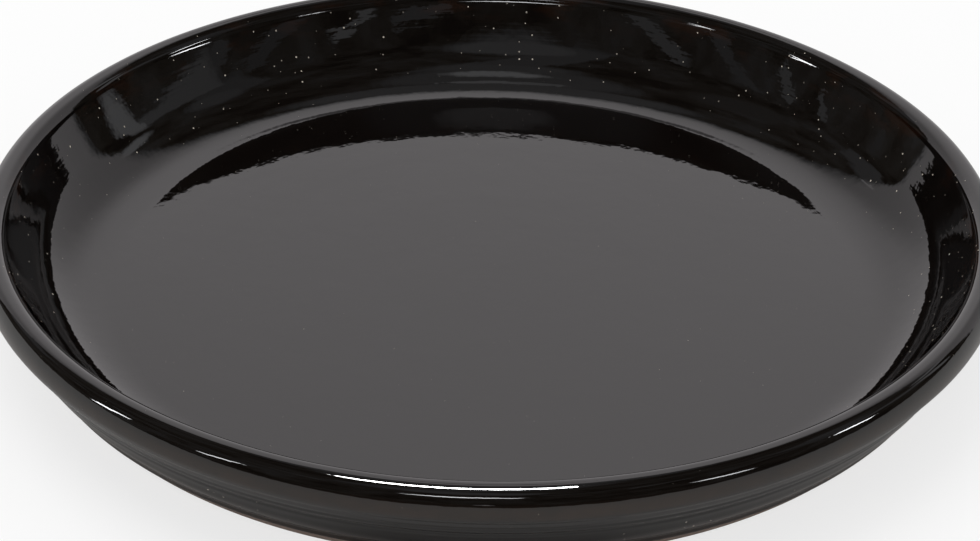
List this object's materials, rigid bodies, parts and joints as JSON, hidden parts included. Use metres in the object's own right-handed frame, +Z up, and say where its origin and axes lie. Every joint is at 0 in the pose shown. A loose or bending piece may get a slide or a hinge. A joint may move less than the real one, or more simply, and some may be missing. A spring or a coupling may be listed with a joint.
{
  "type": "plant saucer",
  "caption": "Round glazed stoneware saucer with a rolled lip, sloped wall, coved inside and bare foot ring, to catch water under a plant pot.",
  "frame": {"origin": "centre of the saucer on the surface that it stands on", "axes": "+Z up along the axis of the saucer; X and Y lie level and are equal, as the saucer is round"},
  "size_m": [0.35, 0.35, 0.039],
  "materials": {
    "bare_clay": "unglazed dark stoneware, matt and slightly gritty",
    "gloss_glaze": "black gloss glaze, fired"
  },
  "bodies": {
    "root": {"clay_body": "bare_clay", "glaze_coat": "gloss_glaze"}
  },
  "joints": []
}
